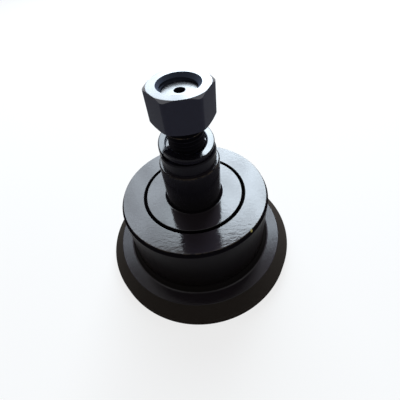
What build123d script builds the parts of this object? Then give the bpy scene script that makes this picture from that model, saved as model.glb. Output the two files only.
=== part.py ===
"""Track bottom roller that hangs from a track frame by one stud.

A flanged roller shell turns on two ball bearings round a stub axle. The axle's own flange
closes the shell's mouth, an oil seal sits behind it, and an end cap closes the far end.

All sizes are in millimetres. +Z runs up the axle from the centre of the shell's closed end,
on which the roller stands, and radii are measured from the axle line.
"""
import os
from math import cos, radians, sin, tan

from build123d import *

# Roller shell, whose height comes from the stack inside it
flange_diameter = 160.0
flange_edge_height = 10.5
flange_face_height = 19.0
flange_face_width = 14.0
flange_corner_chamfer = 1.0
tread_diameter = 114.4
tread_fillet = 5.0
rim_chamfer_width = 1.5
rim_chamfer_height = 3.0
mouth_chamfer = 0.8
bearing_shoulder_width = 3.5
bearing_shoulder_height = 2.2

# Stub axle, turned in one piece
shank_diameter = 42.0
shank_length = 34.0
shank_chamfer = 0.8
shank_fillet = 2.0
shoulder_width = 2.0
spigot_length = 9.0
spigot_chamfer = 0.8
spigot_relief_width = 2.5
spigot_relief_depth = 0.3
stud_diameter = 23.8
stud_length = 40.5
stud_chamfer_width = 0.65
stud_chamfer_height = 1.0
stud_relief_depth = 1.5
stud_relief_length = 2.5
axle_flange_diameter = 74.5
axle_flange_thickness = 7.0
axle_flange_chamfer = 0.3
seal_land_step = 5.0
axle_end_chamfer = 1.0
axle_end_length = 3.2
centre_hole_diameter = 6.7
centre_hole_pilot = 3.15
centre_hole_pilot_depth = 3.0
centre_hole_half_angle = 30.0

# Hexagon nut and split spring washer on the stud
nut_across_flats = 36.0
nut_height = 21.5
nut_countersink = 1.0
nut_face_overhang = 0.2
nut_chamfer_angle = 30.0
nut_corner_allowance = 0.2
nut_corner_round = 3.5
nut_above_stud = 4.2
washer_band = 5.1
washer_thickness = 4.5
washer_edge_radius = 0.9
washer_rise = 5.5
washer_turn = 351.0
washer_low_end_angle = -154.0
washer_tilt = 14.5
washer_high_side_angle = 111.0
washer_off_centre_x = -0.45
washer_off_centre_y = -0.15

# Oil seal between the axle's seal land and the shell
seal_width = 8.0
seal_case_wall = 1.2
seal_lip_reach = 4.5
seal_lip_leg = 3.2
seal_lip_edge_height = 2.8
seal_lip_edge_depth = 1.3
seal_lip_body_length = 2.0
seal_lip_foot_height = 1.0
seal_lip_relief = 0.3
seal_lip_taper = 0.4
seal_spring_wire = 1.7

# Two equal deep-groove ball bearings
bearing_bore_diameter = 35.0
bearing_outer_diameter = 72.0
bearing_width = 17.0
bearing_corner = 1.1
ball_share_of_section = 0.60065
shoulder_gap_share_of_section = 0.373
cage_share_of_section = 0.2216
ball_count = 9
cage_side_bar = 0.8
cage_play = 0.15
bearing_spacing = 3.0
inner_spacer_wall = 4.0
outer_spacer_wall = 4.5
shim_thickness = 2.0
shim_width = 5.0

# Rings that hold the bearings and the end cap
axle_circlip_thickness = 1.5
axle_circlip_groove_depth = 1.0
axle_circlip_width = 3.9
bearing_circlip_thickness = 2.5
bearing_circlip_groove_depth = 1.5
bearing_circlip_width = 5.6
cap_circlip_thickness = 2.5
cap_circlip_groove_depth = 1.75
cap_circlip_width = 6.0
cap_circlip_height = 1.5
circlip_groove_play = 0.1
circlip_gap_angle = 9.0
circlip_lug_radius = 3.2
circlip_lug_hole_diameter = 2.5
circlip_lug_overhang = 0.5
circlip_lug_spread = 0.8

# End cap, its sealing ring and its grease plug
cap_seat_step = 3.0
cap_depth = 7.4
cap_plate_thickness = 3.8
cap_wall = 6.0
cap_edge_chamfer = 0.5
cap_to_bearing_circlip_gap = 1.5
cap_inner_fillet = 1.5
o_ring_wire = 2.36
o_ring_groove_width = 3.0
o_ring_groove_depth = 2.4
plug_thread_diameter = 10.0
plug_thread_length = 3.6
plug_head_across_flats = 14.0
plug_head_height = 2.4
plug_head_face_reduction = 0.3
plug_corner_allowance = 0.1
plug_washer_thickness = 1.0
plug_washer_width = 2.0

# Clearances
seat_clearance = 0.03
mouth_running_gap = 2.15
axle_flange_clearance = 0.4
lip_clearance = 0.1
thread_clearance = 0.1
washer_clearance = 1.4
ball_clearance = 0.2

# Radii worked out from the sizes above
tread_radius = tread_diameter / 2
axle_flange_radius = axle_flange_diameter / 2
shank_radius = shank_diameter / 2
spigot_radius = shank_radius - shoulder_width
stud_radius = stud_diameter / 2
bearing_seat_radius = bearing_outer_diameter / 2
journal_radius = bearing_bore_diameter / 2
ball_path_radius = (bearing_seat_radius + journal_radius) / 2
bearing_section = bearing_seat_radius - journal_radius
ball_diameter = bearing_section * ball_share_of_section
race_shoulder_gap = bearing_section * shoulder_gap_share_of_section
cage_wall = bearing_section * cage_share_of_section
cage_width = ball_diameter + 2 * (cage_play + cage_side_bar)
seal_land_radius = journal_radius + seal_land_step
cap_seat_radius = bearing_seat_radius + cap_seat_step

# Heights worked out from the sizes above
cap_bottom = cap_circlip_height + cap_circlip_thickness
cap_top = cap_bottom + cap_depth
bearing_circlip_bottom = cap_top + cap_to_bearing_circlip_gap
lower_bearing_bottom = bearing_circlip_bottom + bearing_circlip_thickness
lower_bearing_top = lower_bearing_bottom + bearing_width
upper_bearing_bottom = lower_bearing_top + bearing_spacing
upper_bearing_top = upper_bearing_bottom + bearing_width
seal_bottom = upper_bearing_top + bearing_shoulder_height
seal_top = seal_bottom + seal_width
axle_flange_bottom = seal_top + axle_flange_clearance
rim_height = axle_flange_bottom + axle_flange_thickness
shim_bottom = lower_bearing_bottom - shim_thickness
axle_circlip_bottom = shim_bottom - axle_circlip_thickness
axle_end = axle_circlip_bottom - axle_end_length
shank_top = rim_height + shank_length
spigot_top = shank_top + spigot_length
stud_top = spigot_top + stud_length
nut_top = stud_top + nut_above_stud
nut_bottom = nut_top - nut_height


def turned(*corners, rounds=()):
    """Turn a half section about the axle line; rounds lists (corner, radius) pairs."""
    section = make_face(Polyline(*corners, close=True))
    for corner, radius in rounds:
        point = Vector(*corner)
        vertex = min(section.vertices(), key=lambda v: (Vector(v.X, v.Y) - point).length)
        section = fillet(vertex, radius)
    return revolve(Plane.XZ * section, Axis.Z)


def ring(inner_radius, outer_radius, bottom, top):
    """A turned ring of rectangular section."""
    return turned((inner_radius, bottom), (outer_radius, bottom), (outer_radius, top), (inner_radius, top))


def hexagon_corner_radius(across_flats):
    """Distance from a hexagon's centre to its corners."""
    return across_flats / 2 / cos(radians(30))


def hexagon_prism(across_flats, bottom, top, corner_round=0):
    """A hexagonal bar with two corners on the X axis and a flat towards -Y."""
    outline = RegularPolygon(across_flats / 2, 6, major_radius=False)
    if corner_round:
        outline = fillet(outline.vertices(), corner_round)
    return Pos(0, 0, bottom) * extrude(outline, top - bottom)


def torus(ring_radius, wire_diameter, height):
    """A round ring of one wire diameter, centred at the given height."""
    return Pos(0, 0, height) * Torus(ring_radius, wire_diameter / 2)


def roller_shell():
    """Flanged shell with the stepped bore that holds the seal, the bearings and the cap."""
    flange_radius = flange_diameter / 2
    face_radius = tread_radius + flange_face_width
    mouth_radius = axle_flange_radius + mouth_running_gap
    shoulder_radius = bearing_seat_radius - bearing_shoulder_width
    bearing_groove_radius = bearing_seat_radius + bearing_circlip_groove_depth
    cap_groove_radius = cap_seat_radius + cap_circlip_groove_depth
    tread_foot = (tread_radius, flange_face_height)
    return turned(
        (flange_radius - flange_corner_chamfer, 0),
        (flange_radius, flange_corner_chamfer),
        (flange_radius, flange_edge_height),
        (face_radius, flange_face_height),
        tread_foot,
        (tread_radius, rim_height - rim_chamfer_height),
        (tread_radius - rim_chamfer_width, rim_height),
        (mouth_radius + mouth_chamfer, rim_height),
        (mouth_radius, rim_height - mouth_chamfer),
        (mouth_radius, seal_top),
        (bearing_seat_radius, seal_top),
        (bearing_seat_radius, seal_bottom),
        (shoulder_radius, seal_bottom),
        (shoulder_radius, upper_bearing_top),
        (bearing_seat_radius, upper_bearing_top),
        (bearing_seat_radius, lower_bearing_bottom),
        (bearing_groove_radius, lower_bearing_bottom),
        (bearing_groove_radius, bearing_circlip_bottom - circlip_groove_play),
        (bearing_seat_radius, bearing_circlip_bottom - circlip_groove_play),
        (bearing_seat_radius, cap_top),
        (cap_seat_radius, cap_top),
        (cap_seat_radius, cap_bottom),
        (cap_groove_radius, cap_bottom),
        (cap_groove_radius, cap_circlip_height - circlip_groove_play),
        (cap_seat_radius, cap_circlip_height - circlip_groove_play),
        (cap_seat_radius, 0),
        rounds=[(tread_foot, tread_fillet)],
    )


def centre_hole():
    """Lathe centre hole, drawn with its mouth at height 0 and its tip below."""
    mouth = centre_hole_diameter / 2
    pilot = centre_hole_pilot / 2
    cone_depth = (mouth - pilot) / tan(radians(centre_hole_half_angle))
    pilot_end = -cone_depth - centre_hole_pilot_depth
    return turned((0, 0), (mouth, 0), (pilot, -cone_depth), (pilot, pilot_end), (0, pilot_end - pilot))


def axle():
    """Stub axle: journals, seal land, flange, shank, spigot and threaded stud."""
    groove_radius = journal_radius - axle_circlip_groove_depth
    relief_radius = stud_radius - stud_relief_depth
    relief_top = spigot_top + stud_relief_length
    shank_foot = (shank_radius, rim_height)
    body = turned(
        (0, axle_end),
        (journal_radius - axle_end_chamfer, axle_end),
        (journal_radius, axle_end + axle_end_chamfer),
        (journal_radius, axle_circlip_bottom - circlip_groove_play),
        (groove_radius, axle_circlip_bottom - circlip_groove_play),
        (groove_radius, shim_bottom),
        (journal_radius, shim_bottom),
        (journal_radius, upper_bearing_top),
        (seal_land_radius, upper_bearing_top),
        (seal_land_radius, axle_flange_bottom),
        (axle_flange_radius - axle_flange_chamfer, axle_flange_bottom),
        (axle_flange_radius, axle_flange_bottom + axle_flange_chamfer),
        (axle_flange_radius, rim_height - axle_flange_chamfer),
        (axle_flange_radius - axle_flange_chamfer, rim_height),
        shank_foot,
        (shank_radius, shank_top - shank_chamfer),
        (shank_radius - shank_chamfer, shank_top),
        (spigot_radius - spigot_relief_depth, shank_top),
        (spigot_radius - spigot_relief_depth, shank_top + spigot_relief_width),
        (spigot_radius, shank_top + spigot_relief_width),
        (spigot_radius, spigot_top - spigot_chamfer),
        (spigot_radius - spigot_chamfer, spigot_top),
        (relief_radius, spigot_top),
        (relief_radius, relief_top),
        (stud_radius, relief_top + stud_relief_depth),
        (stud_radius, stud_top - stud_chamfer_height),
        (stud_radius - stud_chamfer_width, stud_top),
        (0, stud_top),
        rounds=[(shank_foot, shank_fillet)],
    )
    body -= Pos(0, 0, stud_top) * centre_hole()
    body -= Pos(0, 0, axle_end) * Rot(180, 0, 0) * centre_hole()
    return body


def double_chamfered(corner_radius, face_radius, bottom, top):
    """The turned blank that a hexagon nut's corners are trimmed to."""
    drop = (corner_radius - face_radius) * tan(radians(nut_chamfer_angle))
    return turned(
        (0, bottom),
        (face_radius, bottom),
        (corner_radius, bottom + drop),
        (corner_radius, top - drop),
        (face_radius, top),
        (0, top),
    )


def axle_nut():
    """Tall nut of round-cornered hexagon bar, chamfered at both faces and countersunk at both ends."""
    corner_radius = hexagon_corner_radius(nut_across_flats) + nut_corner_allowance
    face_radius = nut_across_flats / 2 + nut_face_overhang
    bore_radius = stud_radius + thread_clearance
    mouth_radius = bore_radius + nut_countersink
    blank = hexagon_prism(nut_across_flats, nut_bottom, nut_top, nut_corner_round)
    blank &= double_chamfered(corner_radius, face_radius, nut_bottom, nut_top)
    bore = turned(
        (0, nut_bottom),
        (mouth_radius, nut_bottom),
        (bore_radius, nut_bottom + nut_countersink),
        (bore_radius, nut_top - nut_countersink),
        (mouth_radius, nut_top),
        (0, nut_top),
    )
    return blank - bore


def spring_lock_washer():
    """Split washer, wound left-handed, lying slack and leaning on the spigot's end."""
    mean_radius = stud_radius + washer_clearance + washer_band / 2
    path = Helix(
        pitch=washer_rise * 360 / washer_turn,
        height=washer_rise,
        radius=mean_radius,
        lefthand=True,
    )
    start = Plane(origin=path @ 0, x_dir=(1, 0, 0), z_dir=path % 0)
    section = start * RectangleRounded(washer_band, washer_thickness, washer_edge_radius)
    coil = sweep(section, path=path, is_frenet=True)
    centred = Pos(0, 0, -washer_rise / 2) * coil
    split_placed = Rot(0, 0, washer_low_end_angle - washer_high_side_angle) * centred
    leaning = Rot(0, 0, washer_high_side_angle) * Rot(0, -washer_tilt, 0) * split_placed
    lift = spigot_top + seat_clearance - leaning.bounding_box().min.Z
    return Pos(washer_off_centre_x, washer_off_centre_y, lift) * leaning


def seal_spring_radius():
    """Radius of the circle that the garter spring's wire follows."""
    return seal_land_radius + seal_lip_leg


def seal_spring_height():
    """Height of the garter spring, beside the lip's edge."""
    return seal_bottom + seal_lip_edge_height


def seal_case():
    """Pressed steel case: an outer wall in the shell and a flat wall under the axle's flange."""
    outer_radius = bearing_seat_radius - seat_clearance
    inside_radius = outer_radius - seal_case_wall
    bore_radius = seal_land_radius + seal_lip_reach
    return turned(
        (inside_radius, seal_bottom),
        (outer_radius, seal_bottom),
        (outer_radius, seal_top),
        (bore_radius, seal_top),
        (bore_radius, seal_top - seal_case_wall),
        (inside_radius, seal_top - seal_case_wall),
    )


def seal_lip():
    """Rubber lip with a sealing edge under its spring and a dust edge above."""
    bond_radius = seal_land_radius + seal_lip_reach
    edge_radius = seal_land_radius + lip_clearance
    waist_radius = edge_radius + seal_lip_edge_depth
    back_radius = seal_spring_radius()
    edge_height = seal_spring_height()
    lip_foot = seal_bottom + seal_lip_foot_height
    body_top = edge_height + seal_lip_body_length
    bond_bottom = seal_top - seal_case_wall
    lip = turned(
        (bond_radius, seal_top),
        (waist_radius, seal_top),
        (edge_radius, seal_top - seal_lip_relief),
        (waist_radius - seal_lip_relief, bond_bottom),
        (waist_radius, body_top),
        (edge_radius, edge_height),
        (waist_radius, lip_foot),
        (back_radius, lip_foot),
        (back_radius, body_top),
        (back_radius - seal_lip_taper, bond_bottom),
        (bond_radius, bond_bottom),
    )
    return lip - torus(back_radius, seal_spring_wire + 2 * seat_clearance, edge_height)


def seal_garter_spring():
    """Garter spring that holds the lip to the axle, as one round ring."""
    return torus(seal_spring_radius(), seal_spring_wire, seal_spring_height())


def race_groove(bottom):
    """Ring-shaped track that the balls run in, a little larger than the balls."""
    middle = bottom + bearing_width / 2
    return torus(ball_path_radius, ball_diameter + 2 * ball_clearance, middle)


def outer_race(bottom):
    """Bearing ring seated in the shell."""
    shoulder = ball_path_radius + race_shoulder_gap / 2
    outside = bearing_seat_radius - seat_clearance
    blank = ring(shoulder, outside, bottom, bottom + bearing_width)
    corners = blank.edges().filter_by(GeomType.CIRCLE).filter_by(lambda e: e.radius > outside - 0.01)
    return fillet(corners, bearing_corner) - race_groove(bottom)


def inner_race(bottom):
    """Bearing ring seated on the axle."""
    shoulder = ball_path_radius - race_shoulder_gap / 2
    inside = journal_radius + seat_clearance
    blank = ring(inside, shoulder, bottom, bottom + bearing_width)
    corners = blank.edges().filter_by(GeomType.CIRCLE).filter_by(lambda e: e.radius < inside + 0.01)
    return fillet(corners, bearing_corner) - race_groove(bottom)


def ball_places(bottom):
    """The places of one bearing's balls, evenly spaced on their pitch circle."""
    centre = Pos(0, 0, bottom + bearing_width / 2)
    return [centre * place for place in PolarLocations(ball_path_radius, ball_count)]


def bearing_balls(bottom):
    """One bearing's loose set of balls."""
    return [place * Sphere(ball_diameter / 2) for place in ball_places(bottom)]


def bearing_cage(bottom):
    """Machined cage: a ring with a round pocket bored through it for each ball."""
    middle = bottom + bearing_width / 2
    inside = ball_path_radius - cage_wall / 2
    outside = ball_path_radius + cage_wall / 2
    cage = ring(inside, outside, middle - cage_width / 2, middle + cage_width / 2)
    pocket = Rot(0, 90, 0) * Cylinder(ball_diameter / 2 + cage_play, outside)
    for place in ball_places(bottom):
        cage -= place * pocket
    return cage


def inner_spacer_sleeve():
    """Sleeve between the two inner races."""
    return ring(
        journal_radius + seat_clearance,
        journal_radius + inner_spacer_wall,
        lower_bearing_top,
        upper_bearing_bottom,
    )


def outer_spacer_ring():
    """Ring between the two outer races."""
    return ring(
        bearing_seat_radius - outer_spacer_wall,
        bearing_seat_radius - seat_clearance,
        lower_bearing_top,
        upper_bearing_bottom,
    )


def axle_shim_washer():
    """Flat support washer between the lower inner race and the axle's circlip."""
    outside = journal_radius + shim_width
    return ring(journal_radius + seat_clearance, outside, shim_bottom, lower_bearing_bottom)


def circlip(band_inner, band_outer, lug_centre, bottom, thickness):
    """Flat retaining ring with a gap towards +X and a drilled lug on each side of it."""
    half_gap = radians(circlip_gap_angle)
    reach = band_outer / cos(half_gap)
    gap_x = reach * cos(half_gap)
    gap_y = reach * sin(half_gap)
    gap = make_face(Polyline((0, 0), (gap_x, gap_y), (gap_x, -gap_y), close=True))
    outline = Circle(band_outer) - Circle(band_inner) - gap
    lug_angle = half_gap + circlip_lug_radius / lug_centre * circlip_lug_spread
    lug_x = lug_centre * cos(lug_angle)
    lug_y = lug_centre * sin(lug_angle)
    lugs = [Pos(lug_x, lug_y), Pos(lug_x, -lug_y)]
    for lug in lugs:
        outline += lug * Circle(circlip_lug_radius)
    for lug in lugs:
        outline -= lug * Circle(circlip_lug_hole_diameter / 2)
    return Pos(0, 0, bottom) * extrude(outline, thickness)


def axle_circlip():
    """Retaining ring in the axle's groove, with its lugs outside."""
    inner = journal_radius - axle_circlip_groove_depth + seat_clearance
    outer = inner + axle_circlip_width
    lug_centre = outer - circlip_lug_overhang
    return circlip(inner, outer, lug_centre, axle_circlip_bottom, axle_circlip_thickness)


def bearing_circlip():
    """Retaining ring in the shell's bore, under the lower outer race, with its lugs inside."""
    outer = bearing_seat_radius + bearing_circlip_groove_depth - seat_clearance
    inner = outer - bearing_circlip_width
    lug_centre = inner + circlip_lug_overhang
    return circlip(inner, outer, lug_centre, bearing_circlip_bottom, bearing_circlip_thickness)


def cap_circlip():
    """Retaining ring under the end cap, with its lugs inside."""
    outer = cap_seat_radius + cap_circlip_groove_depth - seat_clearance
    inner = outer - cap_circlip_width
    lug_centre = inner + circlip_lug_overhang
    return circlip(inner, outer, lug_centre, cap_circlip_height, cap_circlip_thickness)


def end_cap():
    """Turned cap: a plate with a rim wall, an outside groove and a threaded hole."""
    outer_radius = cap_seat_radius - seat_clearance
    groove_radius = cap_seat_radius - o_ring_groove_depth
    inside_radius = cap_seat_radius - cap_wall
    hole_radius = plug_thread_diameter / 2
    plate_top = cap_bottom + cap_plate_thickness
    groove_middle = cap_bottom + cap_depth / 2
    groove_bottom = groove_middle - o_ring_groove_width / 2
    groove_top = groove_middle + o_ring_groove_width / 2
    inside_corner = (inside_radius, plate_top)
    return turned(
        (hole_radius, cap_bottom),
        (outer_radius - cap_edge_chamfer, cap_bottom),
        (outer_radius, cap_bottom + cap_edge_chamfer),
        (outer_radius, groove_bottom),
        (groove_radius, groove_bottom),
        (groove_radius, groove_top),
        (outer_radius, groove_top),
        (outer_radius, cap_top),
        (inside_radius, cap_top),
        inside_corner,
        (hole_radius, plate_top),
        rounds=[(inside_corner, cap_inner_fillet)],
    )


def cap_o_ring():
    """Rubber ring squeezed between the cap's groove and the shell."""
    ring_radius = cap_seat_radius - o_ring_groove_depth / 2
    return torus(ring_radius, o_ring_wire, cap_bottom + cap_depth / 2)


def grease_plug():
    """Hexagon-head screw plug in the middle of the end cap."""
    head_top = cap_bottom - plug_washer_thickness
    head_bottom = head_top - plug_head_height
    corner_radius = hexagon_corner_radius(plug_head_across_flats) + plug_corner_allowance
    face_radius = plug_head_across_flats / 2 - plug_head_face_reduction
    drop = (corner_radius - face_radius) * tan(radians(nut_chamfer_angle))
    trim = turned(
        (0, head_bottom),
        (face_radius, head_bottom),
        (corner_radius, head_bottom + drop),
        (corner_radius, head_top),
        (0, head_top),
    )
    head = hexagon_prism(plug_head_across_flats, head_bottom, head_top) & trim
    thread_radius = plug_thread_diameter / 2 - seat_clearance
    thread_top = cap_bottom + plug_thread_length
    thread = turned((0, head_top), (thread_radius, head_top), (thread_radius, thread_top), (0, thread_top))
    return head + thread


def plug_washer():
    """Copper sealing washer under the plug's head."""
    bore_radius = plug_thread_diameter / 2
    outside = bore_radius + plug_washer_width
    return ring(bore_radius, outside, cap_bottom - plug_washer_thickness, cap_bottom)


def all_pieces():
    """Every separate piece of the roller, by the name of its node."""
    pieces = {
        "roller_shell": roller_shell(),
        "axle": axle(),
        "axle_nut": axle_nut(),
        "spring_lock_washer": spring_lock_washer(),
        "seal_case": seal_case(),
        "seal_lip": seal_lip(),
        "seal_garter_spring": seal_garter_spring(),
        "inner_spacer_sleeve": inner_spacer_sleeve(),
        "outer_spacer_ring": outer_spacer_ring(),
        "axle_shim_washer": axle_shim_washer(),
        "axle_circlip": axle_circlip(),
        "bearing_circlip": bearing_circlip(),
        "end_cap": end_cap(),
        "cap_o_ring": cap_o_ring(),
        "cap_circlip": cap_circlip(),
        "grease_plug": grease_plug(),
        "plug_washer": plug_washer(),
    }
    for name, bottom in (("upper", upper_bearing_bottom), ("lower", lower_bearing_bottom)):
        pieces[f"{name}_bearing_outer_race"] = outer_race(bottom)
        pieces[f"{name}_bearing_inner_race"] = inner_race(bottom)
        pieces[f"{name}_bearing_cage"] = bearing_cage(bottom)
        pieces[f"{name}_bearing_balls"] = Compound(children=bearing_balls(bottom))
    return pieces


os.makedirs("parts", exist_ok=True)
for node_name, shape in all_pieces().items():
    export_step(shape, f"parts/{node_name}.step")
    print(node_name, round(shape.volume, 1))
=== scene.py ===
from functools import partial
from math import atan2, ceil, cos, degrees, inf, pi, radians, sin, tan

import bmesh
import bpy
from bpy.props import FloatProperty, FloatVectorProperty, IntProperty, PointerProperty
from bpy.types import Operator, Panel, PropertyGroup
from mathutils import Matrix, Vector


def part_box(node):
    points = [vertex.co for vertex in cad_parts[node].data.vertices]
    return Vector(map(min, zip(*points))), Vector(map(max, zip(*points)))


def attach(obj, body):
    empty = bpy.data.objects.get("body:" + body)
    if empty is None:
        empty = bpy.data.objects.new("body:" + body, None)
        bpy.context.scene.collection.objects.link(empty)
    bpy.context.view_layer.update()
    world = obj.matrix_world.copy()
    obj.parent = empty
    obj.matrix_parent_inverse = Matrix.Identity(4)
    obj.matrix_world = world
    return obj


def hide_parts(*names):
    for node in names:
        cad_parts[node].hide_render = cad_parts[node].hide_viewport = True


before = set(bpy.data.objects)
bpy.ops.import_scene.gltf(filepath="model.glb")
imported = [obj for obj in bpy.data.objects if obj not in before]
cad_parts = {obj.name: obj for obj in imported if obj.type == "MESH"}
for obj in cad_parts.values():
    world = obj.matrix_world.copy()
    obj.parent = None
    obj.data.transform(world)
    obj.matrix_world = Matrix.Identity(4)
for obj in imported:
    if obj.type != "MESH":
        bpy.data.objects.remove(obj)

bl_info = {
    "name": "Track bottom roller",
    "version": (1, 0, 0),
    "blender": (4, 5, 0),
    "location": "View3D > Sidebar > Roller",
    "description": "Dresses a flanged track roller on its stub axle, with its nut and split washer",
    "category": "Object",
}

MM = 0.001

# Fineness of the meshes
SPIN_STEPS = 224
NUT_BORE_STEPS = 144
THREAD_STEPS = 72
WASHER_STEPS = 150
CORNER_STEPS = 8
ARC_STEP_DEGREES = 13.0
GUARD_WIDTH = 0.25 * MM
MERGE_DISTANCE = 1e-6

# Upward share of the normal from which a face counts as level, and the slack of a zone's limits
LEVEL = 0.97
ZONE_SLACK = 0.1 * MM

# Half the angle of a thread's flanks, of a centre hole and between two corners of a hexagon
HALF_SIXTY = radians(30.0)

# Height over the spigot at which the stud's thread begins
THREAD_START = 0.3 * MM

# The photograph's square image, and the width of the camera's sensor in millimetres
IMAGE_SIZE = 400
SENSOR_WIDTH = 36.0

# Paint of the two big level faces, which ripples most
LEVEL_FACE = {"gloss": 0.5, "roughness": 0.08, "peel_scale": 400.0, "relief": 0.055 * MM}

# Stepped bore of the shell from the mouth down: radius, top and bottom in millimetres
SHELL_BORE = (
    (36.0, 62.6, 54.6),  # seat of the seal
    (32.5, 54.6, 52.4),  # shoulder over the upper bearing
    (36.0, 52.4, 15.4),  # seat of the bearings
    (37.5, 15.4, 12.8),  # groove of the bearings' ring
    (36.0, 12.8, 11.4),  # land under that groove
    (39.0, 11.4, 4.0),  # seat of the cap
    (40.75, 4.0, 1.4),  # groove of the cap's ring
)


# Sizes and colours that a user would change


def length(name, description, millimetres):
    """A length property whose default is given in millimetres."""
    return FloatProperty(
        name=name, description=description, default=millimetres * MM, min=0.0, unit="LENGTH",
        subtype="DISTANCE", precision=5,
    )


def turn(name, description, value):
    """An angle property whose default is given in degrees."""
    return FloatProperty(
        name=name, description=description, default=radians(value), unit="ROTATION", subtype="ANGLE"
    )


def colour(name, description, value):
    """A linear colour property."""
    return FloatVectorProperty(
        name=name, description=description, default=value, size=3, min=0.0, max=1.0, subtype="COLOR"
    )


def share(name, description, value):
    """A plain number from zero to one."""
    return FloatProperty(
        name=name, description=description, default=value, min=0.0, max=1.0, subtype="FACTOR"
    )


def pixels(name, description, value):
    """A measure on the photograph's square image."""
    return FloatProperty(name=name, description=description, default=value, min=1.0, subtype="PIXEL")


class RollerShellSizes(PropertyGroup):
    """Outline of the flanged shell."""

    flange_radius: length("Flange radius", "Outer radius of the flange", 80.0)
    flange_edge_height: length("Flange edge height", "Height of the flange's straight edge", 10.5)
    face_height: length("Face height", "Height of the flange's flat face", 19.0)
    face_radius: length("Face radius", "Outer radius of the flange's flat face", 71.2)
    tread_radius: length("Tread radius", "Radius of the rolling face", 57.2)
    tread_fillet: length("Tread fillet", "Radius between the tread and the flange", 5.0)
    rim_height: length("Rim height", "Height of the rim's top face", 70.0)
    rim_chamfer_width: length("Rim chamfer width", "Chamfer of the rim, across", 1.5)
    rim_chamfer_height: length("Rim chamfer height", "Chamfer of the rim, down", 3.0)
    mouth_radius: length("Mouth radius", "Radius of the mouth round the axle's flange", 39.4)
    mouth_chamfer: length("Mouth chamfer", "Broken edge of the mouth", 0.4)
    edge_round: length("Edge round", "Rounding that the paint gives each edge", 0.35)


class AxleSizes(PropertyGroup):
    """Outline of the stub axle."""

    flange_radius: length("Flange radius", "Radius of the disc in the shell's mouth", 37.25)
    flange_thickness: length("Flange thickness", "Thickness of that disc", 7.0)
    shank_radius: length("Shank radius", "Radius of the plain shank", 21.0)
    shank_fillet: length("Shank fillet", "Radius at the foot of the shank", 2.0)
    shank_top: length("Shank top", "Height of the shoulder", 104.0)
    shank_chamfer: length("Shank chamfer", "Broken edge of the shoulder", 0.8)
    spigot_radius: length("Spigot radius", "Radius of the spigot", 19.0)
    spigot_top: length("Spigot top", "Height of the spigot's end", 113.0)
    spigot_chamfer: length("Spigot chamfer", "Broken edge of the spigot", 0.8)
    # Painted shade: beyond this radius the front of the spigot's end gets a dark dull finish, where the
    # washer shades it.
    shaded_seat_radius: length("Seat radius", "Inner radius of the washer's rubbed seat", 13.3)
    relief_width: length("Relief width", "Length of the undercut at the spigot's foot", 2.5)
    relief_depth: length("Relief depth", "Depth of that undercut", 0.3)
    stud_radius: length("Stud radius", "Outer radius of the stud's thread", 11.9)
    stud_relief_radius: length("Stud relief radius", "Radius of the run-out groove", 10.15)
    stud_relief_length: length("Stud relief length", "Length of the run-out groove", 2.5)
    stud_top: length("Stud top", "Height of the stud's end", 153.5)
    stud_chamfer: length("Stud chamfer", "Chamfer at the stud's end", 0.65)
    thread_root_radius: length("Thread root radius", "Radius at the bottom of the thread", 10.2)
    thread_pitch: length("Thread pitch", "Distance from turn to turn", 3.0)
    thread_crest: length("Thread crest", "Flat left on top of each turn", 0.4)
    centre_hole_radius: length("Centre hole radius", "Mouth of the lathe centre hole", 3.35)
    centre_pilot_radius: length("Centre pilot radius", "Drilled pilot of that hole", 1.575)
    edge_round: length("Edge round", "Rounding that the paint gives each edge", 0.25)


class NutSizes(PropertyGroup):
    """Outline of the hexagon nut."""

    across_flats: length("Across flats", "Distance between two flats", 36.0)
    bottom: length("Bottom", "Height of the lower face", 136.2)
    top: length("Top", "Height of the upper face", 157.7)
    face_radius: length("Face radius", "Radius that the end faces are trimmed to", 18.2)
    chamfer_angle: turn("Chamfer angle", "Slope of the trimmed corners", 30.0)
    bore_radius: length("Bore radius", "Inner radius at the crests of the thread", 10.6)
    thread_root_radius: length("Thread root radius", "Radius at the bottom of the nut's thread", 12.0)
    thread_crest: length("Thread crest", "Flat left on top of each turn", 0.75)
    countersink: length("Countersink", "Chamfer at each mouth of the bore", 1.0)
    corner_round: length("Corner round", "Rounding of the upright corners", 3.5)


class WasherSizes(PropertyGroup):
    """Form and lean of the split washer."""

    inner_radius: length("Inner radius", "Radius of the hole", 13.3)
    band: length("Band", "Width of the band", 5.1)
    thickness: length("Thickness", "Thickness of the band", 4.5)
    edge_round: length("Edge round", "Rounding of the band's four edges", 0.9)
    rise: length("Rise", "Height from the low end to the high end", 5.5)
    wound: turn("Wound", "Turn from end to end", 351.0)
    low_end: turn("Low end", "Direction of the low end", -154.0)
    tilt: turn("Tilt", "Lean of the whole coil", 14.5)
    high_side: turn("High side", "Direction of the raised side", 111.0)
    aside: FloatVectorProperty(
        name="Aside", description="How far the coil lies off the axle line", size=2,
        default=(-0.45 * MM, -0.15 * MM), unit="LENGTH", subtype="TRANSLATION", precision=5,
    )


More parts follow.
